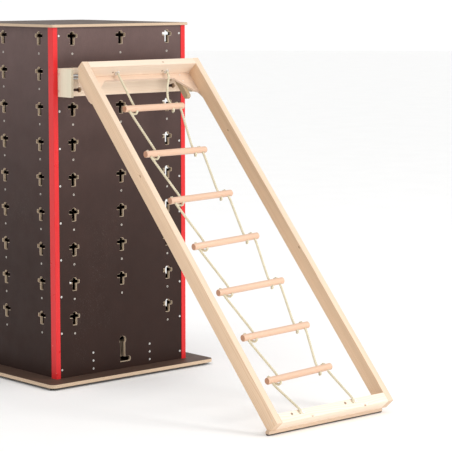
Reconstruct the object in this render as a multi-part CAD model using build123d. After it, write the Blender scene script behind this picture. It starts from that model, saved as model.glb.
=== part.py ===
from build123d import *
import math
import os

# Indoor climbing set: a slotted plywood tower on a base plate, a wooden wall
# bracket hooked into its slots, and an inclined box frame with a rope ladder
# that hangs on the bracket's bar and stands on the floor.
#
# Millimetres, +Z up. Every piece is first laid out from the tower's front
# panel (x = 0 at its left edge, y = 0 on its front face, z = 0 on the floor),
# then moved so that the origin is the bottom centre of the whole set.

# ------------------------------------------------------------------ dimensions
PAD_H = 11.0            # rubber pads under the base plate
BASE_T = 15.0           # base plate thickness
PLY = 12.0              # plywood thickness of the slotted panels and the top plate
PANEL_W = 680.0
PANEL_H = 1500.0
PITCH = 150.0           # vertical pitch of the peg slots
ROWS = 9
COLUMNS = (80.0, 340.0, 600.0)
Z0 = PAD_H + BASE_T     # underside of the panels
ZT = Z0 + PANEL_H       # top of the panels
FIRST_ROW = ZT - 37.0   # height of the first row of cross arms
ENTRY_X = 341.5         # centre of the bottom keyhole slot

ARM_W, ARM_H = 52.0, 15.0     # cross slot: arms
LEG_W = 21.5                  # cross slot: leg
LEG_UP, LEG_DOWN = 17.5, 38.5
SLOT_BREAK = 1.0              # broken edge round every slot

POST_W = 24.0           # red corner posts: width beside a panel
POST_D = 36.0           # and depth along the side
POST_PROUD = 3.0        # posts stand proud of the panel faces
SIDE_RECESS = 12.0      # side panels lie inside the posts' outer faces
DEPTH_IN = 680.0        # side panel width
BATTEN = 33.0

PLATE_OVER = 10.0       # top plate overhang past the posts
BASE_SIDE = 91.0        # base plate margin past the posts

# wall bracket
BR_Z0, BR_H = 1235.0, 120.0
BR_T = 20.0             # backboard thickness
CHEEK_T, CHEEK_D = 12.0, 95.0
BAR_R = 11.0
BAR_Y, BAR_Z = -50.0, 1319.0
KEY_R = 11.5

# ladder frame
PHI = 48.2              # slope from the floor, degrees
FR_X, FR_W = 20.0, 640.0
FR_L = 1787.0
BOARD_T, BOARD_D = 30.0, 66.0
BOTTOM_RAIL = 42.0
STRIP_R = 11.5          # foot bar under the bottom rail
STRIP_S, STRIP_N = 1786.2, -65.0
SOLE_H = 7.0            # height of its rubber sole
FR_Y = -143.2           # front top edge of the frame
ARCH_T = 10.0
HOOK_T = 18.0

# rope ladder
RUNG_R, RUNG_L = 14.0, 346.0
HOLE_IN, HOLE_OUT = 108.0, 150.0
HOLE_R = 5.5
ROPE_R = 5.0
WRAP = 21.0
# each rung: centre across x, down the slope s, off the front plane n,
# turn in the plane and tilt out of it (degrees)
RUNGS = (
    (347.0, 198.0, -79.0, -2.9, -3.6),
    (340.0, 433.0, -86.0, -2.0, -2.4),
    (333.0, 676.0, -78.0, -2.2, -0.6),
    (326.0, 911.0, -68.0, -1.5, 2.6),
    (320.0, 1142.0, -63.0, -1.1, 2.8),
    (313.0, 1366.0, -55.0, -0.5, 3.2),
    (307.0, 1572.0, -49.0, -1.6, 1.6),
)

CP, SP = math.cos(math.radians(PHI)), math.sin(math.radians(PHI))
FR_Z = STRIP_R + STRIP_S * SP - STRIP_N * CP     # the foot strip touches the floor

X_MID = PANEL_W / 2
TOWER_BACK = POST_D - POST_PROUD + DEPTH_IN + POST_D      # outer face of the back posts
BASE_FRONT = -POST_PROUD - BASE_SIDE
BASE_BACK = TOWER_BACK + BASE_SIDE
Y_FRONT = FR_Y - FR_L * CP                                # lowest front edge of the frame
ORIGIN = Vector(X_MID, (Y_FRONT + BASE_BACK) / 2, 0)

os.makedirs("parts", exist_ok=True)
MADE = {}


def save(name, shape):
    solids = shape.solids() if hasattr(shape, "solids") else shape
    moved = [s.translate(-ORIGIN) for s in solids]
    out = moved[0] if len(moved) == 1 else Compound(children=moved)
    out.label = name
    export_step(out, f"parts/{name}.step")
    MADE[name] = sum(s.volume for s in moved)


def box(x0, x1, y0, y1, z0, z1):
    return Pos((x0 + x1) / 2, (y0 + y1) / 2, (z0 + z1) / 2) * Box(x1 - x0, y1 - y0, z1 - z0)


def soften(shape, r, axis=None):
    edges = shape.edges()
    if axis is not None:
        edges = edges.filter_by(axis)
    return fillet(edges, r)


# ladder frame coordinates: x across, s down the slope, n out of the front plane
LAD = Plane(origin=(0, FR_Y, FR_Z), x_dir=(1, 0, 0), z_dir=(0, -SP, CP))


def lad(shape):
    return LAD.location * shape


def lbox(x0, x1, s0, s1, n0, n1):
    return box(x0, x1, -s1, -s0, n0, n1)


def lpt(x, s, n):
    return Vector(x, FR_Y - s * CP - n * SP, FR_Z - s * SP + n * CP)


def side_plane(x):
    # sketch plane across the set: sketch x = y of the set, sketch y = z
    return Plane(origin=(x, 0, 0), x_dir=(0, 1, 0), z_dir=(1, 0, 0))


# ------------------------------------------------------------------ screws
def screw(r_head, length, r_shank=2.0):
    """Countersunk screw along +Z: the head's face is at z = 0 and it points to -Z."""
    head = Pos(0, 0, -1.5) * Cone(r_shank, r_head, 3.0)
    shank = Pos(0, 0, -(length + 2.5) / 2) * Cylinder(r_shank, length - 2.5)
    drive = Pos(0, 0, -0.6) * extrude(RegularPolygon(1.9, 6), 1.4, both=False)
    return (head + shank) - drive


def placed(obj, pos, direction):
    """Put obj, made along +Z, at pos with its +Z along direction."""
    d = Vector(*direction)
    x = Vector(1, 0, 0) if abs(d.X) < 0.9 else Vector(0, 1, 0)
    pl = Plane(origin=pos, x_dir=x.cross(d).normalized(), z_dir=d)
    return pl.location * obj


def group(name, items):
    save(name, Compound(children=list(items)))


# ------------------------------------------------------------------ tower panels
SCREW_Z = [ZT - 36.0 - i * (PANEL_H - 72.0) / 9 for i in range(10)]
CLEATS = (178.5, 495.0)
CLEAT_Z = (Z0 + 21.0, Z0 + 56.0, Z0 + 91.0)


def slot_face(cx, cz):
    arms = Rectangle(ARM_W, ARM_H)
    arms = fillet(arms.vertices(), 2.5)
    leg = Pos(0, (LEG_UP - LEG_DOWN) / 2) * Rectangle(LEG_W, LEG_UP + LEG_DOWN)
    leg = fillet(leg.vertices().sort_by(Axis.Y)[-2:], 8.0)
    leg = fillet(leg.vertices().sort_by(Axis.Y)[:2], 3.0)
    return Pos(cx, cz) * (arms + leg)


def entry_slot():
    """Keyhole with a foot: a round head, a leg and a foot to the right."""
    head = Pos(ENTRY_X, Z0 + 126.5) * Circle(18.0)
    leg = Pos(ENTRY_X, Z0 + 78.0) * Rectangle(26.0, 95.0)
    foot = Pos(ENTRY_X - 13.0 + 28.5, Z0 + 41.0) * Rectangle(57.0, 21.0)
    foot = fillet(foot.vertices().sort_by(Axis.X)[-2:], 9.0)
    return head + leg + foot


def rows(col, with_l):
    n = ROWS - 1 if (with_l and col == 1) else ROWS
    return [FIRST_ROW - PITCH * i for i in range(n)]


def flat_panel(with_l):
    """Panel as a flat sketch (x, z) thickened along +Z; local z becomes its depth."""
    sheet = Pos(PANEL_W / 2, (Z0 + ZT) / 2) * Rectangle(PANEL_W, PANEL_H)
    slots = [slot_face(cx, cz) for c, cx in enumerate(COLUMNS) for cz in rows(c, with_l)]
    if with_l:
        slots.append(entry_slot())
    bores = [Pos(cx, cz - PITCH / 2) * Circle(4.5) for c, cx in enumerate(COLUMNS) for cz in rows(c, with_l)]
    body = extrude(sheet - slots - bores, PLY)
    front = body.faces().sort_by(Axis.Z)[-1]
    rims = [e for w in front.inner_wires() if w.length > 60 for e in w.edges()]
    return chamfer(rims, SLOT_BREAK)


def insert_ring():
    return Pos(0, 0, -5.5) * (Cylinder(4.5, 11) - Cylinder(2.6, 11))


def panel_kit(tag, with_l, loc, normal):
    """One slotted panel, its threaded inserts and its screws. loc places the flat
    panel; normal is its outward side."""
    body = flat_panel(with_l)
    save(f"{tag}_panel", loc * body)
    rings, screws = [], []
    outward = Plane(loc).z_dir
    for c, cx in enumerate(COLUMNS):
        for cz in rows(c, with_l):
            p = loc * Pos(cx, cz - PITCH / 2, PLY)
            rings.append(placed(insert_ring(), p.position, outward))
    spots = [(9.0, z) for z in SCREW_Z] + [(PANEL_W - 9.0, z) for z in SCREW_Z]
    if tag == "front":
        spots += [(x, z) for x in CLEATS for z in CLEAT_Z]
    for x, z in spots:
        p = loc * Pos(x, z, PLY + 0.15)
        screws.append(placed(screw(4.4, 25), p.position, outward))
    group(f"inserts_{tag}", rings)
    group(f"panel_screws_{tag}", screws)


# flat panel lies in x-y with local z as thickness; stand it up
front_loc = Plane(origin=(0, PLY, 0), x_dir=(1, 0, 0), z_dir=(0, -1, 0)).location
Y_BACK = TOWER_BACK - POST_PROUD
back_loc = Plane(origin=(PANEL_W, Y_BACK - PLY, 0), x_dir=(-1, 0, 0), z_dir=(0, 1, 0)).location
SIDE_Y0 = POST_D - POST_PROUD
left_loc = Plane(origin=(0, SIDE_Y0 + DEPTH_IN, 0), x_dir=(0, -1, 0), z_dir=(-1, 0, 0)).location
right_loc = Plane(origin=(PANEL_W, SIDE_Y0, 0), x_dir=(0, 1, 0), z_dir=(1, 0, 0)).location

panel_kit("front", True, front_loc, (0, -1, 0))
panel_kit("back", False, back_loc, (0, 1, 0))
panel_kit("left", False, left_loc, (-1, 0, 0))
panel_kit("right", False, right_loc, (1, 0, 0))

# ------------------------------------------------------------------ posts, battens, plates
for fb, (y0, y1) in {
    "front": (-POST_PROUD, SIDE_Y0),
    "back": (SIDE_Y0 + DEPTH_IN, TOWER_BACK),
}.items():
    for lr, (x0, x1) in {"left": (-POST_W, 0.0), "right": (PANEL_W, PANEL_W + POST_W)}.items():
        save(f"post_{fb}_{lr}", soften(box(x0, x1, y0, y1, Z0, ZT), 2.0, Axis.Z))
for fb, (y0, y1) in {
    "front": (PLY, PLY + BATTEN),
    "back": (Y_BACK - PLY - BATTEN, Y_BACK - PLY),
}.items():
    for lr, (x0, x1) in {"left": (0.0, BATTEN), "right": (PANEL_W - BATTEN, PANEL_W)}.items():
        save(f"batten_{fb}_{lr}", soften(box(x0, x1, y0, y1, Z0, ZT), 1.5, Axis.Z))

for i, cx in enumerate(CLEATS):
    save(
        f"floor_cleat_{'left' if i == 0 else 'right'}",
        soften(box(cx - 22, cx + 22, PLY, PLY + 42, Z0, Z0 + 112), 1.5, Axis.Z),
    )

# rail across the backs of both cleats, the stop behind the bottom slot
save("cleat_rail", soften(box(CLEATS[0] - 22, CLEATS[1] + 22, PLY + 42, PLY + 60, 66, 140), 2.0, Axis.X))

PO = POST_W + PLATE_OVER
top = box(-PO, PANEL_W + PO, -POST_PROUD - PLATE_OVER, TOWER_BACK + PLATE_OVER, ZT, ZT + PLY)
save("top_plate", soften(soften(top, 8.0, Axis.Z), 1.5))

BX0, BX1 = -POST_W - BASE_SIDE, PANEL_W + POST_W + BASE_SIDE
base = box(BX0, BX1, BASE_FRONT, BASE_BACK, PAD_H, PAD_H + BASE_T)
base = soften(base, 28.0, Axis.Z)
base = fillet(base.faces().sort_by(Axis.Z)[-1].edges(), 2.0)
save("base_plate", base)

pads = []
for px in (BX0 + 45, X_MID, BX1 - 45):
    for py in (BASE_FRONT + 45, (BASE_FRONT + BASE_BACK) / 2, BASE_BACK - 45):
        pads.append(Pos(px, py, PAD_H / 2) * chamfer(Cylinder(22, PAD_H).edges().filter_by(GeomType.CIRCLE).sort_by(Axis.Z)[:1], 1.5))
group("base_pads", pads)

corners = [
    (x, y)
    for x in (-POST_W / 2, PANEL_W + POST_W / 2)
    for y in (SIDE_Y0 / 2 - 1.5, TOWER_BACK - 16.0)
]
top_screws = [placed(screw(4.8, 55, 2.4), (x, y, ZT + PLY + 0.3), (0, 0, 1)) for x, y in corners]
top_screws += [
    placed(screw(4.8, 55, 2.4), (x, y, ZT + PLY + 0.3), (0, 0, 1))
    for x in (PLY + 1.0, PANEL_W - PLY - 1.0)
    for y in (PLY + 16.0, Y_BACK - PLY - 16.0)
]
group("top_plate_screws", top_screws)
base_screws = [placed(screw(4.8, 55, 2.4), (x, y, PAD_H - 0.0), (0, 0, -1)) for x, y in corners]
base_screws += [placed(screw(4.8, 45, 2.4), (cx, PLY + 21, PAD_H - 0.0), (0, 0, -1)) for cx in CLEATS]
group("base_plate_screws", base_screws)

# ------------------------------------------------------------------ wall bracket
PEG_X = (COLUMNS[0], COLUMNS[2])
PEG_ROW = FIRST_ROW - PITCH
PEG_R = LEG_W / 2 - 0.35
PEG_Z = PEG_ROW - LEG_DOWN + PEG_R + 0.05
PEG_DEEP = 14.0         # how deep the pegs sit in the backboard
TEE = (46.0, 6.0, 13.0)  # cross head behind the panel

board = box(CHEEK_T, PANEL_W - CHEEK_T, -BR_T, -0.2, BR_Z0, BR_Z0 + BR_H)
board = chamfer(board.faces().sort_by(Axis.Y)[0].edges(), 1.2)
cut = Sketch()
for kx in (100.0, 619.0):
    cut += Pos(kx, BR_Z0 + 27.0) * Circle(KEY_R)
    cut += Pos(kx - 13.0, BR_Z0 + 27.0) * SlotOverall(38, 12)
XZ = Plane(origin=(0, 0, 0), x_dir=(1, 0, 0), z_dir=(0, -1, 0))
board -= extrude(XZ.location * cut, BR_T + 5, both=True)
for px in PEG_X:
    board -= Pos(px, -0.2 - PEG_DEEP / 2, PEG_Z) * Rot(90, 0, 0) * Cylinder(PEG_R + 0.05, PEG_DEEP)
save("bracket_board", board)

for side, x0 in (("left", 0.0), ("right", PANEL_W - CHEEK_T)):
    cheek = box(x0, x0 + CHEEK_T, -CHEEK_D, -0.2, BR_Z0, BR_Z0 + BR_H)
    cheek = fillet(cheek.faces().sort_by(Axis.Y)[0].edges().filter_by(Axis.X), 4.0)
    inner = 4.0 if side == "left" else PANEL_W - 4.0
    seat = Pos((inner + X_MID) / 2, BAR_Y, BAR_Z) * Rot(0, 90, 0) * Cylinder(BAR_R, abs(X_MID - inner))
    save(f"bracket_cheek_{side}", cheek - seat)

bar = Pos(X_MID, BAR_Y, BAR_Z) * Rot(0, 90, 0) * Cylinder(BAR_R, PANEL_W - 8.0)
save("hook_bar", bar)

pegs = []
for px in PEG_X:
    back = PLY + 0.6
    neck = Pos(px, (back - 0.2 - PEG_DEEP + 0.05) / 2, PEG_Z) * Rot(90, 0, 0) * Cylinder(PEG_R, back + 0.2 + PEG_DEEP - 0.05)
    tee = Pos(px, back + TEE[1] / 2, PEG_Z) * Box(*TEE)
    pegs.append(neck + soften(tee, 1.5, Axis.Y))
# the tee lies across the slot, along x
group("bracket_pegs", pegs)

bscrews = []
for zz in (BR_Z0 + 24, BR_Z0 + BR_H - 24):
    bscrews.append(placed(screw(4.4, 48), (-0.3, -BR_T / 2, zz), (-1, 0, 0)))
    bscrews.append(placed(screw(4.4, 48), (PANEL_W + 0.3, -BR_T / 2, zz), (1, 0, 0)))
group("bracket_screws", bscrews)

# ------------------------------------------------------------------ ladder frame
FX0, FX1 = FR_X, FR_X + FR_W
strip_cut = Pos(X_MID, -STRIP_S, STRIP_N) * Rot(0, 90, 0) * Cylinder(STRIP_R, FR_W + 40)

# the back top corners of the stiles are cut upright, clear of the bracket
CUT_Y = -118.0


def upright_cut(x0, x1):
    return box(x0, x1, CUT_Y, CUT_Y + 200, FR_Z - 400, FR_Z + 100)


for side, x0 in (("left", FX0), ("right", FX1 - BOARD_T)):
    stile = lbox(x0, x0 + BOARD_T, 0, FR_L, -BOARD_D, 0)
    stile = soften(stile, 2.5, Axis.Y)
    stile = lad(stile - strip_cut) - upright_cut(x0 - 5, x0 + BOARD_T + 5)
    save(f"stile_{side}", stile)

ANCHOR_TOP = ((217.0, -44.0), (489.0, -46.0))
ANCHOR_BOT = (157.0, 446.0)
BOT_S = 1760.0

rail = lbox(FX0 + BOARD_T, FX1 - BOARD_T, 0, BOARD_T, -BOARD_D, 0)
rail = soften(rail, 2.0, Axis.X)
for ax, an in ANCHOR_TOP:
    rail -= Pos(ax, -(BOARD_T - 11), an) * Rot(90, 0, 0) * Cylinder(HOLE_R, 22.001)
save("top_rail", lad(rail))

rail = lbox(FX0 + BOARD_T, FX1 - BOARD_T, FR_L - BOTTOM_RAIL, FR_L, -BOARD_D, 0)
rail = soften(rail, 2.0, Axis.X) - strip_cut
for ax in ANCHOR_BOT:
    rail -= Pos(ax, -BOT_S, -15) * Cylinder(HOLE_R, 30.001)
save("bottom_rail", lad(rail))

# arch board: straight lower edge in the middle, sloping ends with rounded toes
ARCH = [
    (FX0, 0), (FX1, 0), (FX1, 150), (654, 166), (642, 160), (630, 133), (618, 130), (602, 121),
    (530, 54), (520, 52), (160, 52), (150, 54), (78, 121), (62, 130), (50, 133), (38, 160), (26, 166), (FX0, 150),
]
arch = extrude(Polygon(*[(x, -s) for x, s in ARCH], align=None), ARCH_T, dir=(0, 0, 1))
arch = Pos(0, 0, -BOARD_D - ARCH_T) * arch
arch = lad(arch) - upright_cut(FX0 - 5, FX0 + BOARD_T) - upright_cut(FX1 - BOARD_T, FX1 + 5)
save("arch_board", arch)

# hook plates: a long front leg on the arch board, a round seat over the bar,
# a short leg behind it
BAR_S = -((BAR_Y - FR_Y) * CP + (BAR_Z - FR_Z) * SP)
BAR_N = -(BAR_Y - FR_Y) * SP + (BAR_Z - FR_Z) * CP
SEAT_R = BAR_R + 0.6
HOOK_R = SEAT_R + 14.0
LEG_N0 = -BOARD_D - ARCH_T                      # front face of the long leg
LEG_N1 = BAR_N + SEAT_R                         # its face at the bar
BACK_N0, BACK_N1 = BAR_N - SEAT_R, BAR_N - HOOK_R
LEG_S = 150.0


def hook(x0):
    # profile in (s, n), drawn as sketch x = -s, y = n
    leg = Pos(-(BAR_S + LEG_S) / 2, (LEG_N0 + LEG_N1) / 2) * Rectangle(LEG_S - BAR_S, LEG_N0 - LEG_N1)
    toe_r = (LEG_N0 - LEG_N1) / 2 - 0.01
    leg = fillet(leg.vertices().sort_by(Axis.X)[:2], toe_r)
    round_ = Pos(-BAR_S, BAR_N) * Circle(HOOK_R)
    shoulder = Pos(-(BAR_S - 12), (LEG_N0 + BAR_N) / 2) * Rectangle(24, LEG_N0 - BAR_N)
    back = Pos(-(BAR_S + 13), (BACK_N0 + BACK_N1) / 2) * Rectangle(26, BACK_N0 - BACK_N1)
    back = fillet(back.vertices().sort_by(Axis.X)[:2], 5.0)
    prof = leg + round_ + shoulder + back
    prof -= Pos(-BAR_S, BAR_N) * Circle(SEAT_R)
    prof -= Pos(-(BAR_S + 40), BAR_N) * Rectangle(80, 2 * SEAT_R)
    pl = Plane(origin=(x0, 0, 0), x_dir=(0, 1, 0), z_dir=(1, 0, 0))
    return extrude(pl.location * prof, HOOK_T)


HOOK_X = {"left": 97.0, "right": 565.0}
for side, x0 in HOOK_X.items():
    save(f"hook_plate_{side}", lad(hook(x0)))

# foot bar along the lower back corner, with a rubber sole on its underside
BAR_X0, BAR_X1 = FX0 - 5.0, FX1 - 24.0
foot = Pos((BAR_X0 + BAR_X1) / 2, -STRIP_S, STRIP_N) * Rot(0, 90, 0) * Cylinder(STRIP_R, BAR_X1 - BAR_X0)
foot = lad(fillet(foot.edges().filter_by(GeomType.CIRCLE), 2.0))
below = box(BAR_X0 - 5, BAR_X1 + 5, -2000, 0, -50, SOLE_H)
save("foot_bar", foot - below)
save("foot_strip", foot & below)

fs, wooden = [], []
for s in (BOARD_T / 2, FR_L - BOTTOM_RAIL / 2 - 4):
    for n in (-16.0, -46.0):
        if s < 100:
            n = n + 6.0 if n < -40 else n + 4.0
        fs.append(placed(screw(4.8, 66, 2.4), (FX0 + 6.0, -s, n), (-1, 0, 0)))
        fs.append(placed(screw(4.8, 66, 2.4), (FX1 - 6.0, -s, n), (1, 0, 0)))
        plug = chamfer(Cylinder(5.0, 6.0).edges().filter_by(GeomType.CIRCLE).sort_by(Axis.Z)[-1:], 0.4)
        for x, side in ((FX0 + 2.8, -1), (FX1 - 2.8, 1)):
            wooden.append(Pos(x, -s, n) * Rot(0, 90 * side, 0) * plug)
group("frame_screws", [lad(f) for f in fs])
group("frame_plugs", [lad(f) for f in wooden])

as_ = []
for x in (134.0, 270.0, 410.0, 546.0):
    as_.append(placed(screw(4.0, 34, 1.8), (x, -15.0, -BOARD_D - ARCH_T - 0.3), (0, 0, -1)))
for x in (FX0 + 15.0, FX1 - 15.0):
    as_.append(placed(screw(4.0, 34, 1.8), (x, -112.0, -BOARD_D - ARCH_T - 0.3), (0, 0, -1)))
group("arch_screws", [lad(f) for f in as_])

hs = []
for x0 in HOOK_X.values():
    for s in (38.0, 72.0):
        hs.append(placed(screw(4.0, 32, 1.8), (x0 + HOOK_T / 2, -s, -BOARD_D + 0.3), (0, 0, 1)))
group("hook_screws", [lad(f) for f in hs])

ferr = []
for ax, an in ANCHOR_TOP:
    ring = Cylinder(11, 6) - Cylinder(HOLE_R, 6)
    ferr.append(Pos(ax, -(BOARD_T + 3), an) * Rot(90, 0, 0) * ring)
group("rope_ferrules", [lad(f) for f in ferr])

rings, plugs = [], []
for ax in ANCHOR_BOT:
    rings.append(Pos(ax + 18, -(BOT_S - 1), 1.5) * (Cylinder(7.5, 3) - Pos(0, 0, 1.2) * Cylinder(4.2, 3)))
    plugs.append(Pos(ax - 41, -(BOT_S - 2), 0.3) * Cylinder(5.5, 0.6))
for ax, an in ANCHOR_TOP:
    plugs.append(Pos(ax - 24, -(BOARD_T + 0.3), an + 2) * Rot(90, 0, 0) * Cylinder(4.5, 0.6))
group("rope_lock_screws", [lad(f) for f in rings])
group("screw_covers", [lad(f) for f in plugs])

# ------------------------------------------------------------------ rungs and ropes
E_X, E_S, E_N = Vector(1, 0, 0), Vector(0, -CP, -SP), Vector(0, -SP, CP)


def rung_frame(k):
    x, s, n, yaw, tilt = RUNGS[k]
    ya, ti = math.radians(yaw), math.radians(tilt)
    c = lpt(x, s, n)
    d = E_X * (math.cos(ya) * math.cos(ti)) + E_S * (math.sin(ya) * math.cos(ti)) + E_N * math.sin(ti)
    d = d.normalized()
    e2 = (E_S - d * E_S.dot(d)).normalized()
    e3 = d.cross(e2)
    if e3.dot(E_N) < 0:
        e3 = -e3
    return c, d, e2, e3


for k in range(7):
    c, d, e2, e3 = rung_frame(k)
    rung = Cylinder(RUNG_R, RUNG_L)
    rung = fillet(rung.edges().filter_by(GeomType.CIRCLE), 2.5)
    rung = Plane(origin=c, x_dir=e2, z_dir=d).location * rung
    for t in (-HOLE_OUT, -HOLE_IN, HOLE_IN, HOLE_OUT):
        rung -= Plane(origin=c + d * t, x_dir=d, z_dir=e2).location * Cylinder(HOLE_R, 4 * RUNG_R)
    save(f"rung_{k + 1}", rung)


def rope_route(sign):
    """The rope's corner points, from inside the top rail to inside the bottom
    rail: at each rung down through the inner hole, under and up behind the rung,
    over it and down through the outer hole."""
    ax, an = ANCHOR_TOP[0] if sign < 0 else ANCHOR_TOP[1]
    pts = [lpt(ax, 12, an), lpt(ax, 57, an)]
    if sign > 0:
        pts += [lpt(463, 104, -62), lpt(444, 158, -77)]
    for k in range(7):
        c, d, e2, e3 = rung_frame(k)
        ti, to = sign * HOLE_IN, sign * HOLE_OUT
        lean = 5.0 * sign
        if not (sign > 0 and k == 0):
            pts.append(c + d * ti - e2 * 24)
        else:
            pts.append(c + d * ti - e2 * 17)
        pts.append(c + d * ti + e2 * WRAP)
        pts.append(c + d * (ti + lean) + e2 * WRAP - e3 * WRAP)
        pts.append(c + d * (to - lean) - e2 * WRAP - e3 * WRAP)
        pts.append(c + d * to - e2 * WRAP)
        pts.append(c + d * to + e2 * 24)
    bx = ANCHOR_BOT[0] if sign < 0 else ANCHOR_BOT[1]
    pts += [lpt(bx, 1741, 8.0), lpt(bx, BOT_S + 0.2, 10.0), lpt(bx, BOT_S, -26)]
    return pts


def rope(sign):
    pts = rope_route(sign)
    radii = []
    for a, b, c in zip(pts, pts[1:], pts[2:]):
        turn = (b - a).get_angle(c - b)
        run = min((b - a).length, (c - b).length)
        r = 0.45 * run / math.tan(math.radians(turn) / 2)
        radii.append(min(r, 400.0))
    path = FilletPolyline(*pts, radius=radii)
    start = Plane(origin=pts[0], z_dir=(pts[1] - pts[0]).normalized())
    solid = sweep(start.location * Circle(ROPE_R), path=path)
    print("rope", "left" if sign < 0 else "right", "length", round(path.length, 1),
          "volume ratio", round(solid.volume / (math.pi * ROPE_R**2 * path.length), 4),
          "smallest radius", round(min(radii), 1))
    return solid


save("rope_left", rope(-1))
save("rope_right", rope(1))

for n, v in MADE.items():
    print(n, round(v))
print("frame front top z", round(FR_Z, 2), "bar in frame", round(BAR_S, 2), round(BAR_N, 2), "origin", ORIGIN)
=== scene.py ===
"""Indoor climbing set: slotted tower, hooked wall bracket, inclined frame with a rope ladder."""
import bpy
import math
from mathutils import Matrix, Vector


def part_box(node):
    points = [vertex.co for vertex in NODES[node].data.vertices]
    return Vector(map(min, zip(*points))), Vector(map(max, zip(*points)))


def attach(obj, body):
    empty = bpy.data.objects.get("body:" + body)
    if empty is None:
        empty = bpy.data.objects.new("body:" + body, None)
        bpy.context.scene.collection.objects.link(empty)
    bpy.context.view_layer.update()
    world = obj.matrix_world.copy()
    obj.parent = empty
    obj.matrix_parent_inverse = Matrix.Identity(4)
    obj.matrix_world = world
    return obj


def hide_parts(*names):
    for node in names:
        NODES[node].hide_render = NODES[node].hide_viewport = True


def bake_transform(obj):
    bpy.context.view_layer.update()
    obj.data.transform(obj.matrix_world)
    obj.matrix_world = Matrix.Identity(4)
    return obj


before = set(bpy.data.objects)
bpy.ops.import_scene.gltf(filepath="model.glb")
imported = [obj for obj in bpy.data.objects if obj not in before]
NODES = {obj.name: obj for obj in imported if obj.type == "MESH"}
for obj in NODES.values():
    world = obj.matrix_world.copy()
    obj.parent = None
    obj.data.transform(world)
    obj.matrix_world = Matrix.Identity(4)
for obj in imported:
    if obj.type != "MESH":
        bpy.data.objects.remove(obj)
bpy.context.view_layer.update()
scene = bpy.context.scene

# ------------------------------------------------------------------ ladder frame axes
PHI = math.radians(48.2)
CP, SP = math.cos(PHI), math.sin(PHI)
X = (1.0, 0.0, 0.0)
Y = (0.0, 1.0, 0.0)
Z = (0.0, 0.0, 1.0)
DOWN = (0.0, -CP, -SP)      # down the ladder frame's slope
OUT = (0.0, -SP, CP)        # out of its front plane
OX, OY = 0.340, -0.247147   # the CAD layout's own datum, in metres
FR_Y = -0.1432
FR_Z = 0.013 + 1.7842 * SP + 0.065 * CP


def centre(node):
    lo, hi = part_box(node)
    return tuple((a + b) / 2 for a, b in zip(lo, hi))


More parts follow.
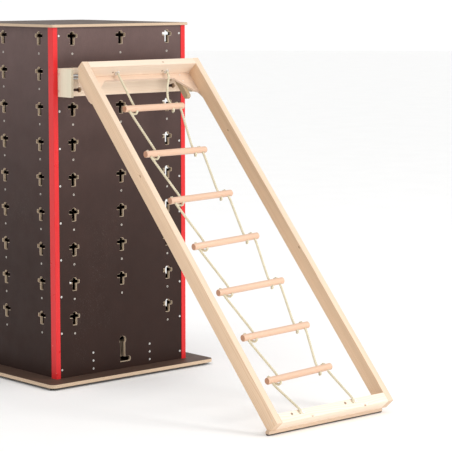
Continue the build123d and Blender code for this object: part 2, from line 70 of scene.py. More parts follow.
# ------------------------------------------------------------------ node helper
class Mat:
    def __init__(self, name):
        self.m = bpy.data.materials.new(name)
        self.m.use_nodes = True
        self.t = self.m.node_tree
        self.t.nodes.clear()
        out = self.t.nodes.new("ShaderNodeOutputMaterial")
        self.b = self.t.nodes.new("ShaderNodeBsdfPrincipled")
        self.t.links.new(self.b.outputs[0], out.inputs["Surface"])
        tc = self.t.nodes.new("ShaderNodeTexCoord")
        self.P, self.N, self.UV = tc.outputs["Object"], tc.outputs["Normal"], tc.outputs["UV"]

    def put(self, socket, value):
        if isinstance(value, bpy.types.NodeSocket):
            self.t.links.new(value, socket)
        elif isinstance(value, (tuple, list)) and socket.type == "RGBA":
            socket.default_value = (*value[:3], 1.0)
        elif value is not None:
            socket.default_value = value

    def math(self, op, a, b=None, c=None, clamp=False):
        n = self.t.nodes.new("ShaderNodeMath")
        n.operation, n.use_clamp = op, clamp
        for i, v in enumerate((a, b, c)):
            if v is not None:
                self.put(n.inputs[i], v)
        return n.outputs[0]

    def add(self, a, b): return self.math("ADD", a, b)
    def sub(self, a, b): return self.math("SUBTRACT", a, b)
    def mul(self, a, b): return self.math("MULTIPLY", a, b)

    def dot(self, v, axis):
        n = self.t.nodes.new("ShaderNodeVectorMath")
        n.operation = "DOT_PRODUCT"
        self.put(n.inputs[0], v)
        n.inputs[1].default_value = axis
        return n.outputs["Value"]

    def vec(self, x, y, z):
        n = self.t.nodes.new("ShaderNodeCombineXYZ")
        for i, v in enumerate((x, y, z)):
            self.put(n.inputs[i], v)
        return n.outputs[0]

    def noise(self, v, scale=1.0, detail=2.0, rough=0.5, distortion=0.0):
        n = self.t.nodes.new("ShaderNodeTexNoise")
        self.put(n.inputs["Vector"], v)
        n.inputs["Scale"].default_value = scale
        n.inputs["Detail"].default_value = detail
        n.inputs["Roughness"].default_value = rough
        n.inputs["Distortion"].default_value = distortion
        return n.outputs["Fac"]

    def step(self, v, lo, hi, a=0.0, b=1.0):
        n = self.t.nodes.new("ShaderNodeMapRange")
        n.interpolation_type = "SMOOTHSTEP"
        self.put(n.inputs["Value"], v)
        for k, x in (("From Min", lo), ("From Max", hi), ("To Min", a), ("To Max", b)):
            n.inputs[k].default_value = x
        return n.outputs["Result"]

    def lin(self, v, lo, hi, a=0.0, b=1.0):
        n = self.t.nodes.new("ShaderNodeMapRange")
        self.put(n.inputs["Value"], v)
        for k, x in (("From Min", lo), ("From Max", hi), ("To Min", a), ("To Max", b)):
            n.inputs[k].default_value = x
        return n.outputs["Result"]

    def ramp(self, fac, stops):
        n = self.t.nodes.new("ShaderNodeValToRGB")
        e = n.color_ramp.elements
        while len(e) < len(stops):
            e.new(0.5)
        for el, (p, c) in zip(e, stops):
            el.position = p
            el.color = (*c, 1.0) if isinstance(c, tuple) else (c, c, c, 1.0)
        self.put(n.inputs[0], fac)
        return n.outputs["Color"]

    def mix(self, fac, a, b, mode="MIX"):
        n = self.t.nodes.new("ShaderNodeMix")
        n.data_type, n.blend_type = "RGBA", mode
        self.put(n.inputs["Factor"], fac)
        self.put(n.inputs["A"] if False else n.inputs[6], a)
        self.put(n.inputs[7], b)
        return n.outputs[2]

    def gain(self, col, factor):
        """colour times a factor socket"""
        n = self.t.nodes.new("ShaderNodeVectorMath")
        n.operation = "SCALE"
        self.put(n.inputs[0], col)
        self.put(n.inputs["Scale"], factor)
        return n.outputs[0]

    def bump(self, height, strength=0.3, distance=0.001, after=None):
        n = self.t.nodes.new("ShaderNodeBump")
        n.inputs["Strength"].default_value = strength
        n.inputs["Distance"].default_value = distance
        self.put(n.inputs["Height"], height)
        if after is not None:
            self.put(n.inputs["Normal"], after)
        return n.outputs[0]

    def set(self, **kw):
        names = {"color": "Base Color", "rough": "Roughness", "metal": "Metallic", "normal": "Normal",
                 "spec": "Specular IOR Level", "coat": "Coat Weight", "coat_rough": "Coat Roughness",
                 "sheen": "Sheen Weight", "sheen_rough": "Sheen Roughness"}
        for k, v in kw.items():
            self.put(self.b.inputs[names[k]], v)
        return self.m


# ------------------------------------------------------------------ wood
def wood_fields(m, c, g, a, ring, pith, seed, knots=()):
    """Growth rings, knots and fibres of one board: centre c, grain g, across a."""
    b = tuple(Vector(g).cross(Vector(a)))
    off = m.t.nodes.new("ShaderNodeVectorMath")
    off.operation = "SUBTRACT"
    m.put(off.inputs[0], m.P)
    off.inputs[1].default_value = c
    q = off.outputs[0]
    u, v, w = m.dot(q, g), m.dot(q, a), m.dot(q, b)
    us = m.add(u, seed)
    wob1 = m.sub(m.noise(m.vec(m.mul(us, 2.2), m.mul(v, 7.0), m.mul(w, 7.0)), 1.0, 2.0), 0.5)
    wob2 = m.sub(m.noise(m.vec(m.mul(us, 2.9), m.mul(w, 6.0), m.add(m.mul(v, 6.0), 7.7)), 1.0, 2.0), 0.5)
    vv = m.add(m.sub(v, pith[0]), m.mul(wob1, 0.022))
    ww = m.add(m.add(m.sub(w, pith[1]), m.mul(wob2, 0.022)), m.mul(u, pith[2]))
    r = m.math("SQRT", m.add(m.mul(vv, vv), m.mul(ww, ww)))
    dark = None
    for ku, kv, kw, kr in knots:
        du, dv, dw = m.mul(m.sub(u, ku), 0.55), m.sub(v, kv), m.sub(w, kw)
        d = m.math("SQRT", m.add(m.add(m.mul(du, du), m.mul(dv, dv)), m.mul(dw, dw)))
        r = m.add(r, m.step(d, kr * 4.0, 0.0, 0.0, kr * 1.3))
        k = m.step(d, kr * 1.15, kr * 0.5, 0.0, 1.0)
        dark = k if dark is None else m.math("MAXIMUM", dark, k)
    fine = m.noise(m.vec(m.mul(us, 9.0), m.mul(v, 380.0), m.mul(w, 380.0)), 1.0, 3.0, 0.6)
    fibre = m.noise(m.vec(m.mul(us, 30.0), m.mul(v, 1500.0), m.mul(w, 1500.0)), 1.0, 2.0, 0.6)
    phase = m.add(m.math("DIVIDE", r, ring), m.mul(fine, 0.30))
    f = m.math("FRACT", phase)
    year = m.noise(m.vec(m.math("FLOOR", phase), seed, 0.3), 3.7, 0.0)   # each year's strength
    late = m.mul(m.ramp(f, [(0.0, 0.0), (0.42, 0.06), (0.78, 0.6), (0.90, 1.0), (0.97, 0.55), (1.0, 0.0)]),
                 m.lin(year, 0.3, 0.7, 0.45, 1.0))
    broad = m.noise(m.vec(m.mul(us, 1.3), m.mul(v, 26.0), m.mul(w, 26.0)), 1.0, 3.0)
    return {"u": u, "v": v, "w": w, "late": late, "fibre": fibre, "fine": fine, "broad": broad, "dark": dark, "g": g}


def wood(name, c, g, a, light, dark, ring=0.0042, pith=(0.03, 0.06, 0.018), seed=0.0, knots=(),
         contrast=0.6, rough=0.46, side_shade=None, end_dark=0.35, knot_col=(0.26, 0.12, 0.05)):
    m = Mat(name)
    W = wood_fields(m, c, g, a, ring, pith, seed, knots)
    col = m.mix(m.mul(W["late"], contrast), light, dark)
    col = m.gain(col, m.lin(W["broad"], 0.25, 0.75, 0.92, 1.07))
    col = m.gain(col, m.lin(W["fibre"], 0.2, 0.8, 0.955, 1.045))
    # painted shade: faces pointing along the given axis (the stiles' sides) are darkened and yellowed to stand in for
    # the shade they get
    if side_shade is not None:
        axis, side_shade_tint, amount = side_shade
        side = m.step(m.math("ABSOLUTE", m.dot(m.N, axis)), 0.6, 0.9, 0.0, amount)
        col = m.mix(side, col, m.mix(1.0, col, side_shade_tint, "MULTIPLY"))
    if W["dark"] is not None:
        halo = m.noise(m.vec(m.mul(W["u"], 160.0), m.mul(W["v"], 260.0), m.mul(W["w"], 260.0)), 1.0, 2.0)
        col = m.mix(m.mul(W["dark"], m.lin(halo, 0.2, 0.8, 0.55, 0.95)), col, knot_col)
    end = m.step(m.math("ABSOLUTE", m.dot(m.N, g)), 0.75, 0.95, 0.0, end_dark)
    col = m.mix(end, col, m.mix(1.0, col, (0.74, 0.60, 0.44), "MULTIPLY"))
    h = m.add(m.mul(W["fibre"], 0.6), m.mul(W["late"], 0.5))
    n = m.bump(h, 0.22, 0.00035)
    rg = m.add(m.lin(W["fine"], 0.3, 0.7, rough - 0.05, rough + 0.07), m.mul(W["late"], -0.06))
    return m.set(color=col, rough=rg, normal=n, spec=0.38, coat=0.12, coat_rough=0.35)


PINE_L, PINE_D = (0.735, 0.575, 0.430), (0.60, 0.385, 0.225)
# painted shade for the stiles' side faces: axis, darker colour and amount
SIDE_SHADE = (X, (0.97, 0.885, 0.775), 0.9)


def painted():
    return [n for n in NODES if not (NODES[n].data.materials and NODES[n].data.materials[0].use_nodes and len(NODES[n].data.materials[0].node_tree.nodes) > 6)]


def board(node, g, a, seed, pith, knots=(), light=PINE_L, dark=PINE_D, side_shade_tint=SIDE_SHADE, contrast=0.6, ring=0.0042):
    mat = wood("pine_" + node, centre(node), g, a, light, dark, ring, pith, seed, knots, contrast, side_shade=side_shade_tint)
    paint(node, mat)


def paint(node, mat):
    o = NODES[node]
    o.data.materials.clear()
    o.data.materials.append(mat)


def ply(name, axis, light, dark, face=None, t=0.012, plies=9, grain=Z, across=X, seed=0.0, c=(0, 0, 0), edge_shade=1.0):
    """Plywood: veneer layers on the edges (normal away from axis), and on its
    faces either a given film, made by face(m), or birch face veneer."""
    m = Mat(name)
    off = m.t.nodes.new("ShaderNodeVectorMath")
    off.operation = "SUBTRACT"
    m.put(off.inputs[0], m.P)
    off.inputs[1].default_value = c
    q = off.outputs[0]
    d = m.dot(q, axis)
    warp = m.mul(m.sub(m.noise(q, 22.0, 2.0), 0.5), 0.0007)
    lay = m.math("DIVIDE", m.add(m.add(d, t / 2), warp), t / plies)
    idx = m.math("FLOOR", lay)
    odd = m.math("MODULO", m.math("ABSOLUTE", idx), 2.0)
    f = m.math("FRACT", lay)
    glue = m.math("MAXIMUM", m.step(f, 0.10, 0.0), m.step(f, 0.90, 1.0))
    tone = m.noise(m.vec(m.mul(idx, 1.7), seed, 0.0), 3.0, 0.0)
    fib = m.noise(m.vec(m.dot(q, (900.0, 400.0, 90.0)), m.dot(q, (60.0, 900.0, 500.0)), m.dot(q, (300.0, 60.0, 900.0))), 1.0, 2.0)
    edge = m.mix(m.mul(odd, 0.55), light, dark)
    edge = m.gain(edge, m.lin(tone, 0.3, 0.7, 0.88 * edge_shade, 1.08 * edge_shade))
    edge = m.gain(edge, m.lin(fib, 0.2, 0.8, 0.90, 1.08))
    edge = m.mix(m.mul(glue, 0.45), edge, (0.22, 0.12, 0.06))
    on_face = m.step(m.math("ABSOLUTE", m.dot(m.N, axis)), 0.70, 0.80)
    if face is None:
        W = wood_fields(m, c, grain, across, 0.011, (0.05, 0.02, 0.05), seed)
        fc = m.mix(m.mul(W["late"], 0.28), light, dark)
        fc = m.gain(fc, m.lin(W["fibre"], 0.2, 0.8, 0.95, 1.04))
        fc = m.gain(fc, m.lin(W["broad"], 0.25, 0.75, 0.95, 1.05))
        fr, fh = 0.48, m.mul(W["fibre"], 0.4)
    else:
        fc, fr, fh = face(m, q)
    col = m.mix(on_face, edge, fc)
    rg = m.lin(on_face, 0.0, 1.0, 0.62, 0.0)
    rg = m.add(rg, m.mul(on_face, fr))
    h = m.add(m.mul(on_face, fh), m.mul(m.sub(1.0, on_face), m.mul(fib, 0.9)))
    return m.set(color=col, rough=rg, normal=m.bump(h, 0.25, 0.0004), spec=0.2)


def film(top, low, z0=0.02, z1=1.53, rough=0.36):
    """Phenolic film: fine pressed texture, slight mottling, scuffs and faint scratches."""
    def face(m, q):
        # painted shade: the film's colour runs from top at z1 down to low at z0, which makes the panels much darker
        # towards the bottom
        h = m.dot(m.P, Z)
        t = m.lin(h, z0, z1)
        t = m.math("POWER", t, 2.6)
        base = m.mix(t, low, top)
        mott = m.noise(q, 9.0, 4.0, 0.6)
        base = m.gain(base, m.lin(mott, 0.3, 0.7, 0.91, 1.09))
        fine = m.noise(m.vec(m.dot(q, (420.0, 0, 0)), m.dot(q, (0, 420.0, 0)), m.dot(q, (0, 0, 60.0))), 1.0, 3.0, 0.7)
        base = m.gain(base, m.lin(fine, 0.25, 0.75, 0.93, 1.08))
        # faint scratches: thin crests of a stretched noise, only in worn patches
        scr = m.noise(m.vec(m.dot(q, (26.0, 5.0, 9.0)), m.dot(q, (5.0, 26.0, -8.0)), m.dot(q, (2.0, -3.0, 3.0))), 4.0, 3.0, 0.5, 0.8)
        line = m.step(m.math("ABSOLUTE", m.sub(scr, 0.5)), 0.0045, 0.0)
        patch = m.step(m.noise(q, 3.1, 2.0), 0.52, 0.66)
        scratch = m.mul(m.mul(line, patch), 0.32)
        base = m.mix(scratch, base, (0.30, 0.24, 0.21))
        rough_s = m.add(m.lin(m.noise(q, 14.0, 3.0), 0.3, 0.7, rough - 0.05, rough + 0.09), m.mul(scratch, 0.3))
        # the film's pressed weave
        weave = m.add(m.math("SINE", m.dot(q, (2600.0, 0, 2600.0))), m.math("SINE", m.dot(q, (2600.0, 0, -2600.0))))
        weave2 = m.add(m.math("SINE", m.dot(q, (0, 2600.0, 2600.0))), m.math("SINE", m.dot(q, (0, 2600.0, -2600.0))))
        return base, rough_s, m.add(m.mul(m.add(weave, weave2), 0.05), m.mul(fine, 0.25))
    return face


BIRCH_L, BIRCH_D = (0.66, 0.54, 0.40), (0.46, 0.33, 0.21)
# painted shade: the panels' film darkens towards the bottom
PANEL_FILM = film((0.130, 0.082, 0.076), (0.024, 0.0085, 0.005), rough=0.46)
PLATE_FILM = film((0.082, 0.052, 0.036), (0.092, 0.054, 0.038), 0.0, 1.6, rough=0.56)

for node, axis, seed in (("front_panel", Y, 1.0), ("back_panel", Y, 2.0), ("left_panel", X, 3.0), ("right_panel", X, 4.0)):
    paint(node, ply("film_ply_" + node, axis, BIRCH_L, BIRCH_D, PANEL_FILM, seed=seed, c=centre(node)))
for node, seed in (("base_plate", 5.0), ("top_plate", 6.0)):
    paint(node, ply("film_ply_" + node, Z, (0.66, 0.51, 0.37), (0.44, 0.30, 0.19), PLATE_FILM, t=0.015 if node == "base_plate" else 0.012, plies=11 if node == "base_plate" else 9, seed=seed, c=centre(node), edge_shade=1.0))
for side, seed in (("left", 7.0), ("right", 8.0)):
    n = "bracket_cheek_" + side
    paint(n, ply("birch_" + n, X, (0.77, 0.70, 0.54), (0.65, 0.53, 0.37), t=0.012, plies=9, grain=Z, across=Y, seed=seed, c=centre(n)))
    # painted shade: the hook plates are a much darker copy of the cheeks' birch ply, for the shade they sit in
    n = "hook_plate_" + side
    paint(n, ply("birch_" + n, X, (0.50, 0.38, 0.245), (0.34, 0.22, 0.125), t=0.018, plies=13, grain=DOWN, across=OUT, seed=seed + 2, c=centre(n)))

# ------------------------------------------------------------------ boards
STILES = {"light": (0.765, 0.60, 0.455), "dark": (0.60, 0.385, 0.225), "contrast": 0.85, "ring": 0.0050}
board("stile_left", DOWN, X, 0.3, (0.052, 0.046, 0.020), [(-0.31, -0.016, 0.004, 0.0045), (0.47, 0.004, 0.034, 0.004)], **STILES)
board("stile_right", DOWN, X, 4.1, (-0.058, 0.050, -0.016), [(-0.52, -0.015, -0.010, 0.0035), (0.12, -0.015, 0.012, 0.0042), (0.66, 0.006, 0.034, 0.003)], **STILES)
RAILS = {"light": (0.80, 0.655, 0.525), "dark": (0.68, 0.475, 0.32), "side_shade_tint": None}
board("top_rail", X, OUT, 8.3, (0.05, -0.052, 0.020), [(0.11, 0.034, 0.002, 0.004)], **RAILS)
# painted light: the bottom rail uses a lighter copy of the rails' pine, making up for the little light on its
# down-facing face
board("bottom_rail", X, OUT, 12.9, (-0.060, 0.044, -0.022), [(0.16, 0.030, 0.021, 0.0042), (-0.13, 0.030, 0.021, 0.003)], light=(0.88, 0.74, 0.61), dark=(0.74, 0.54, 0.38), side_shade_tint=None)
board("arch_board", X, DOWN, 16.2, (0.11, 0.03, 0.02), side_shade_tint=None, light=(0.75, 0.57, 0.44), dark=(0.62, 0.39, 0.24), contrast=0.5, ring=0.006)
board("bracket_board", X, Z, 20.7, (-0.09, 0.035, 0.02), [(0.20, 0.02, 0.01, 0.005)], side_shade_tint=None, light=(0.86, 0.71, 0.56), dark=(0.72, 0.51, 0.33), ring=0.0055)
board("foot_bar", X, OUT, 22.4, (0.03, -0.03, 0.02), side_shade_tint=None, light=(0.60, 0.45, 0.33), dark=(0.46, 0.29, 0.17))
board("cleat_rail", X, Z, 27.1, (0.04, 0.05, 0.02), side_shade_tint=None)
paint("frame_plugs", wood("pine_frame_plugs", centre("frame_plugs"), X, OUT, PINE_L, PINE_D, 0.0042, (0.3, 0.2, 0.0), 31.0, end_dark=0.12))
for i, n in enumerate(("batten_front_left", "batten_front_right", "batten_back_left", "batten_back_right", "floor_cleat_left", "floor_cleat_right")):
    board(n, Z, X, 25.0 + 3.3 * i, (0.03, 0.03 - 0.01 * i, 0.01), [(0.2 - 0.1 * i, 0.0, 0.016, 0.006)], side_shade_tint=None)

# rungs: turned beech with short dark pores
def beech(node, seed):
    m = Mat("beech_" + node)
    c = centre(node)
    W = wood_fields(m, c, X, OUT, 0.0026, (0.03, 0.012 - 0.004 * math.sin(seed * 3), 0.03), seed)
    col = m.mix(m.mul(W["late"], 0.38), (0.70, 0.465, 0.33), (0.58, 0.34, 0.21))
    col = m.gain(col, m.lin(W["broad"], 0.25, 0.75, 0.95, 1.05))
    fleck = m.noise(m.vec(m.mul(m.add(W["u"], seed), 90.0), m.mul(W["v"], 1300.0), m.mul(W["w"], 1300.0)), 1.0, 1.0)
    fl = m.step(fleck, 0.64, 0.72, 0.0, 0.42)
    col = m.mix(fl, col, (0.52, 0.27, 0.13))
    end = m.step(m.math("ABSOLUTE", m.dot(m.N, X)), 0.8, 0.95, 0.0, 0.75)
    col = m.mix(end, col, m.mix(1.0, col, (0.62, 0.42, 0.30), "MULTIPLY"))
    n = m.bump(m.add(m.mul(W["fibre"], 0.5), m.mul(fl, -1.0)), 0.2, 0.0003)
    return m.set(color=col, rough=m.lin(W["fine"], 0.3, 0.7, 0.36, 0.46), normal=n, spec=0.45, coat=0.25, coat_rough=0.3)


for k in range(1, 8):
    paint(f"rung_{k}", beech(f"rung_{k}", 1.7 * k))


# ------------------------------------------------------------------ red posts
def red_post(node, seed):
    m = Mat("red_paint_" + node)
    lo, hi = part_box(node)
    q = m.vec(m.dot(m.P, (9.0, 0, 0)), m.dot(m.P, (0, 9.0, 0)), m.add(m.dot(m.P, (0, 0, 1.1)), seed))
    grain = m.noise(m.vec(m.dot(m.P, (260.0, 0, 0)), m.dot(m.P, (0, 260.0, 0)), m.add(m.dot(m.P, (0, 0, 7.0)), seed)), 1.0, 3.0, 0.6)
    peel = m.noise(m.P, 330.0, 2.0)
    col = m.mix(m.lin(m.noise(q, 1.0, 3.0), 0.3, 0.7), (0.72, 0.016, 0.019), (0.64, 0.011, 0.014))
    col = m.gain(col, m.lin(grain, 0.3, 0.7, 0.965, 1.03))
    # small knocks in the lacquer, mostly low down
    chip = m.step(m.noise(m.P, 95.0, 2.0), 0.735, 0.755)
    low = m.lin(m.dot(m.P, Z), 0.0, 0.5, 0.75, 0.10)
    col = m.mix(m.mul(chip, low), col, (0.62, 0.30, 0.22))
    rg = m.add(m.lin(m.noise(m.P, 26.0, 3.0), 0.3, 0.7, 0.27, 0.38), m.mul(chip, 0.2))
    h = m.add(m.mul(grain, 0.7), m.mul(peel, 0.4))
    return m.set(color=col, rough=rg, normal=m.bump(h, 0.12, 0.0004), spec=0.35, coat=0.08, coat_rough=0.25)


for i, n in enumerate(("post_front_left", "post_front_right", "post_back_left", "post_back_right")):
    paint(n, red_post(n, 3.1 * i))


# ------------------------------------------------------------------ metal, rubber, caps
def zinc(name, tone=(0.74, 0.735, 0.71), rough=0.34, metal=0.92):
    m = Mat(name)
    blot = m.noise(m.P, 420.0, 3.0, 0.6)
    fine = m.noise(m.vec(m.dot(m.P, (1800.0, 300.0, 60.0)), m.dot(m.P, (60.0, 1800.0, 300.0)), m.dot(m.P, (300.0, 60.0, 1800.0))), 1.0, 2.0)
    col = m.gain(m.mix(m.lin(blot, 0.3, 0.7), tone, tuple(0.86 * t for t in tone)), m.lin(fine, 0.2, 0.8, 0.94, 1.05))
    return m.set(color=col, metal=metal, rough=m.lin(blot, 0.3, 0.7, rough - 0.05, rough + 0.12), normal=m.bump(fine, 0.15, 0.0002), spec=0.5)


def rubber(name, tone, rib=None):
    m = Mat(name)
    n1 = m.noise(m.P, 700.0, 3.0, 0.6)
    dust = m.step(m.noise(m.P, 34.0, 4.0, 0.6), 0.45, 0.75, 0.0, 0.35)
    col = m.mix(dust, m.gain(tone, m.lin(n1, 0.2, 0.8, 0.85, 1.15)), (0.26, 0.23, 0.20))
    h = m.mul(n1, 0.3)
    if rib is not None:
        h = m.add(h, m.math("SINE", m.dot(m.P, rib)))
    return m.set(color=col, rough=m.lin(n1, 0.3, 0.7, 0.62, 0.78), normal=m.bump(h, 0.35, 0.0006), spec=0.35)


SCREW = zinc("zinc_screws", (0.86, 0.855, 0.83), 0.36, 0.75)
for n in ("panel_screws_front", "panel_screws_back", "panel_screws_left", "panel_screws_right", "top_plate_screws",
          "base_plate_screws", "bracket_screws", "frame_screws", "arch_screws", "hook_screws"):
    paint(n, SCREW)
INSERT = zinc("zinc_inserts", (0.70, 0.66, 0.60), 0.42, 0.8)
for n in ("inserts_front", "inserts_back", "inserts_left", "inserts_right"):
    paint(n, INSERT)
paint("hook_bar", zinc("drawn_steel_bar", (0.56, 0.56, 0.55), 0.30, 1.0))
paint("bracket_pegs", zinc("zinc_pegs", (0.60, 0.60, 0.58), 0.38, 1.0))
paint("rope_ferrules", zinc("aluminium_ferrules", (0.80, 0.785, 0.75), 0.40, 0.65))
paint("rope_lock_screws", zinc("zinc_lock_screws", (0.84, 0.83, 0.81), 0.34, 0.7))
paint("base_pads", rubber("rubber_pads", (0.055, 0.052, 0.050)))
# the dark rubber sole under the foot bar also stands in for the contact shadow along the frame's foot (painted shadow)
paint("foot_strip", rubber("rubber_sole_and_painted_shadow", (0.085, 0.066, 0.054), (1050.0, 0.0, 0.0)))
m = Mat("brown_caps")
mm = m.noise(m.P, 900.0, 2.0)
paint("screw_covers", m.set(color=m.gain((0.30, 0.20, 0.13), m.lin(mm, 0.3, 0.7, 0.85, 1.15)), rough=m.lin(mm, 0.3, 0.7, 0.4, 0.55), normal=m.bump(mm, 0.2, 0.0002)))

# ------------------------------------------------------------------ ropes
ROPE_R = 0.005
RUNGS = (
    (0.347, 0.198, -0.079, -2.9, -3.6),
    (0.340, 0.433, -0.086, -2.0, -2.4),
    (0.333, 0.676, -0.078, -2.2, -0.6),
    (0.326, 0.911, -0.068, -1.5, 2.6),
    (0.320, 1.142, -0.063, -1.1, 2.8),
    (0.313, 1.366, -0.055, -0.5, 3.2),
    (0.307, 1.572, -0.049, -1.6, 1.6),
)
HOLE_IN, HOLE_OUT, WRAP = 0.108, 0.150, 0.0195
E_X, E_S, E_N = Vector(X), Vector(DOWN), Vector(OUT)


def lpt(x, s, n):
    return Vector((x - OX, FR_Y - s * CP - n * SP - OY, FR_Z - s * SP + n * CP))


def rung_frame(k):
    x, s, n, yaw, tilt = RUNGS[k]
    ya, ti = math.radians(yaw), math.radians(tilt)
    d = (E_X * (math.cos(ya) * math.cos(ti)) + E_S * (math.sin(ya) * math.cos(ti)) + E_N * math.sin(ti)).normalized()
    e2 = (E_S - d * E_S.dot(d)).normalized()
    e3 = d.cross(e2)
    if e3.dot(E_N) < 0:
        e3 = -e3
    return lpt(x, s, n), d, e2, e3


def route(sign):
    """Control points of the rope's spline: straight between rungs, round each
    rung from the inner hole, behind and over, to the outer hole."""
    ax, an = (0.217, -0.044) if sign < 0 else (0.489, -0.046)
    pts = [lpt(ax, 0.012, an), lpt(ax, 0.040, an), lpt(ax, 0.060, an)]
    if sign > 0:
        pts += [lpt(0.4630, 0.104, -0.062), lpt(0.444, 0.158, -0.077)]
    for k in range(7):
        c, d, e2, e3 = rung_frame(k)
        ti, to, lean = sign * HOLE_IN, sign * HOLE_OUT, 0.005 * sign
        top = c + d * ti - e2 * (0.022 if not (sign > 0 and k == 0) else 0.017)
        if k or sign < 0:
            prev = pts[-1]
            if k:
                pts.append(prev + (top - prev).normalized() * 0.045)
            pts.append(top + (prev - top).normalized() * 0.045)
        pts.append(top)
        pts.append(c + d * ti + e2 * 0.008)
        pts.append(c + d * ti + e2 * WRAP)
        pts.append(c + d * (ti + lean) + e2 * WRAP - e3 * WRAP)
        pts.append(c + d * (to - lean) - e2 * WRAP - e3 * WRAP)
        pts.append(c + d * to - e2 * WRAP)
        pts.append(c + d * to - e2 * 0.006)
        pts.append(c + d * to + e2 * 0.022)
    bx = 0.157 if sign < 0 else 0.446
    end = lpt(bx, 1.752, 0.010)
    prev = pts[-1]
    pts.append(prev + (end - prev).normalized() * 0.045)
    pts.append(end + (prev - end).normalized() * 0.035)
    pts += [end, lpt(bx, 1.7600, 0.002), lpt(bx, 1.760, -0.026)]
    return pts


def read_spline(pts):
    cu = bpy.data.curves.new("line", "CURVE")
    cu.dimensions = "3D"
    sp = cu.splines.new("NURBS")
    sp.points.add(len(pts) - 1)
    for p, q in zip(sp.points, pts):
        p.co = (*q, 1.0)
    sp.order_u = 3
    sp.use_endpoint_u = True
    sp.resolution_u = 16
    o = bpy.data.objects.new("line", cu)
    me = bpy.data.meshes.new_from_object(o)
    line = [v.co.copy() for v in me.vertices]
    bpy.data.objects.remove(o)
    bpy.data.curves.remove(cu)
    bpy.data.meshes.remove(me)
    return line


def even(line, step):
    """The same line with points a fixed distance apart along it."""
    s = [0.0]
    for a, b in zip(line, line[1:]):
        s.append(s[-1] + (b - a).length)
    n = max(2, round(s[-1] / step))
    out, j = [], 0
    for i in range(n + 1):
        t = s[-1] * i / n
        while j < len(s) - 2 and s[j + 1] < t:
            j += 1
        seg = s[j + 1] - s[j]
        out.append(line[j].lerp(line[j + 1], (t - s[j]) / seg if seg > 1e-12 else 0.0))
    return out, s[-1]


def rope_material():
    m = Mat("twisted_rope")
    uv = m.UV
    u, v = m.dot(uv, X), m.dot(uv, Y)          # u along in metres, v round the strand
    yarn = m.add(m.mul(u, 190.0), m.mul(v, 5.0))
    f = m.math("ABSOLUTE", m.sub(m.math("FRACT", yarn), 0.5))
    fuzz = m.noise(m.vec(m.mul(u, 900.0), m.mul(v, 26.0), 0.0), 1.0, 3.0, 0.6)
    tone = m.noise(m.P, 60.0, 3.0)
    col = m.mix(m.lin(tone, 0.3, 0.7), (0.80, 0.735, 0.555), (0.69, 0.625, 0.455))
    # painted shade in the grooves between the yarns, with a slight painted highlight on their crests
    col = m.gain(col, m.lin(f, 0.0, 0.5, 1.06, 0.80))
    col = m.gain(col, m.lin(fuzz, 0.2, 0.8, 0.86, 1.12))
    h = m.add(m.mul(m.sub(0.5, f), 1.2), m.mul(fuzz, 0.6))
    return m.set(color=col, rough=0.86, normal=m.bump(h, 0.55, 0.0005), spec=0.25, sheen=0.25, sheen_rough=0.5)


ROPE = rope_material()
PITCH, OFF, STRAND, SIDES = 0.030, 0.0025, 0.00285, 9


def strands(name, pts, i0, i1, frames, cap0, cap1):
    verts, faces, uvs = [], [], []
    step = (pts[1] - pts[0]).length
    for k in range(3):
        base = len(verts)
        for i in range(i0, i1 + 1):
            p, n, b = pts[i], frames[i][0], frames[i][1]
            a = 2 * math.pi * (i * step / PITCH + k / 3.0)
            c = p + n * (OFF * math.cos(a)) + b * (OFF * math.sin(a))
            for j in range(SIDES):
                t = 2 * math.pi * j / SIDES
                verts.append(c + n * (STRAND * math.cos(t)) + b * (STRAND * math.sin(t)))
        rings = i1 - i0
        for r in range(rings):
            for j in range(SIDES):
                j2 = (j + 1) % SIDES
                q = base + r * SIDES
                faces.append((q + j, q + j2, q + SIDES + j2, q + SIDES + j))
                u0, u1 = (i0 + r) * step, (i0 + r + 1) * step
                tw0, tw1 = u0 / PITCH, u1 / PITCH
                uvs.append(((u0, j / SIDES - tw0), (u0, (j + 1) / SIDES - tw0), (u1, (j + 1) / SIDES - tw1), (u1, j / SIDES - tw1)))
        for first, at in ((True, base), (False, base + rings * SIDES)):
            ring = [at + j for j in range(SIDES)]
            faces.append(tuple(reversed(ring)) if first else tuple(ring))
            uvs.append(tuple((0.0, j / SIDES) for j in range(SIDES)))
    me = bpy.data.meshes.new(name)
    me.from_pydata([tuple(v) for v in verts], [], faces)
    layer = me.uv_layers.new(name="UVMap")
    for poly, cs in zip(me.polygons, uvs):
        poly.use_smooth = True
        for li, c in zip(poly.loop_indices, cs):
            layer.data[li].uv = c
    me.materials.append(ROPE)
    o = bpy.data.objects.new(name, me)
    scene.collection.objects.link(o)
    return o


def make_rope(side, sign):
    line = read_spline(route(sign))
    pts, length = even(line, 0.0018)
    frames, n = [], None
    for i in range(len(pts)):
        t = (pts[min(i + 1, len(pts) - 1)] - pts[max(i - 1, 0)]).normalized()
        if n is None:
            n = t.cross(Vector((0.3, 0.2, 0.9))).normalized()
        n = (n - t * n.dot(t)).normalized()
        frames.append((n.copy(), t.cross(n)))
    c1, d1, _, _ = rung_frame(0)
    c7, d7, _, _ = rung_frame(6)
    near = lambda q, lo, hi: min(range(lo, hi), key=lambda i: (pts[i] - q).length)
    cut1 = near(c1 + d1 * (sign * HOLE_IN), 0, len(pts) // 3)
    cut2 = near(c7 + d7 * (sign * HOLE_OUT), 2 * len(pts) // 3, len(pts))
    top = strands(f"rope_{side}_top", pts, 0, cut1, frames, True, True)
    mid = strands(f"rope_{side}_middle", pts, cut1, cut2, frames, True, True)
    low = strands(f"rope_{side}_bottom", pts, cut2, len(pts) - 1, frames, True, True)
    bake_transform(top)
    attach(mid, "rope_ladder")
    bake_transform(low)
    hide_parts(f"rope_{side}")
    print("rope", side, "length", round(length, 4))


make_rope("left", -1)
make_rope("right", 1)

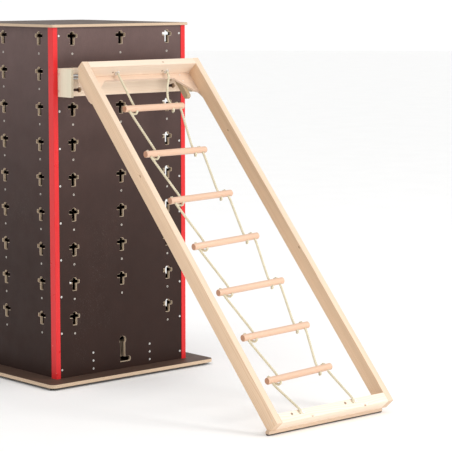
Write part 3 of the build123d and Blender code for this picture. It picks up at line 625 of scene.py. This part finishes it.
print("not painted", painted())

# ------------------------------------------------------------------ floor
me = bpy.data.meshes.new("floor")
R = 40.0
ring = [(R * math.cos(2 * math.pi * i / 64), R * math.sin(2 * math.pi * i / 64), 0.0) for i in range(64)]
me.from_pydata(ring, [], [tuple(range(64))])
floor = bpy.data.objects.new("floor", me)
scene.collection.objects.link(floor)
fm = Mat("pale_floor")
fn = fm.noise(fm.P, 3.0, 2.0)
me.materials.append(fm.set(color=fm.gain((0.965, 0.965, 0.96), fm.lin(fn, 0.3, 0.7, 0.99, 1.01)), rough=0.7, spec=0.2))

# ------------------------------------------------------------------ light
world = bpy.data.worlds.new("studio")
scene.world = world
world.use_nodes = True
wt = world.node_tree
wt.nodes.clear()
wo = wt.nodes.new("ShaderNodeOutputWorld")
bg = wt.nodes.new("ShaderNodeBackground")
bg.inputs["Color"].default_value = (1.0, 1.0, 1.0, 1.0)
bg.inputs["Strength"].default_value = 1.0
seen = wt.nodes.new("ShaderNodeBackground")
seen.inputs["Color"].default_value = (1.0, 1.0, 0.998, 1.0)
seen.inputs["Strength"].default_value = 1.02
lp = wt.nodes.new("ShaderNodeLightPath")
mx = wt.nodes.new("ShaderNodeMixShader")
wt.links.new(lp.outputs["Is Camera Ray"], mx.inputs[0])
wt.links.new(bg.outputs[0], mx.inputs[1])
wt.links.new(seen.outputs[0], mx.inputs[2])
wt.links.new(mx.outputs[0], wo.inputs["Surface"])


def area(name, at, to, size, watts, color=(1, 1, 1)):
    d = bpy.data.lights.new(name, "AREA")
    d.shape, d.size, d.energy, d.color = "DISK", size, watts, color
    o = bpy.data.objects.new(name, d)
    o.location = at
    o.rotation_euler = (Vector(to) - Vector(at)).to_track_quat("-Z", "Y").to_euler()
    scene.collection.objects.link(o)
    return o


area("key", (3.2, -6.0, 5.2), (0.0, -0.1, 0.6), 2.6, 165.0, (1.0, 0.985, 0.96))
area("front", (1.2, -7.0, 0.42), (0.0, 0.0, 0.7), 2.6, 165.0, (1.0, 0.985, 0.965))

# ------------------------------------------------------------------ camera
cam = bpy.data.cameras.new("camera")
cam.sensor_width = 36.0
cam.lens = 1948.9 / 452 * 36.0
cam.clip_end = 100.0
co = bpy.data.objects.new("camera", cam)
scene.collection.objects.link(co)
yaw, pitch = math.radians(41.72), math.radians(7.19)
fwd = Vector((math.sin(yaw) * math.cos(pitch), math.cos(yaw) * math.cos(pitch), -math.sin(pitch)))
right = Vector((math.cos(yaw), -math.sin(yaw), 0.0))
up = right.cross(fwd)
rot = Matrix((right, up, -fwd)).transposed()
co.matrix_world = Matrix.Translation((-4.93734 - OX, -6.60366 - OY, 1.71477 + 0.008)) @ rot.to_4x4()
scene.camera = co
scene.view_settings.view_transform = "Standard"
scene.view_settings.look = "None"
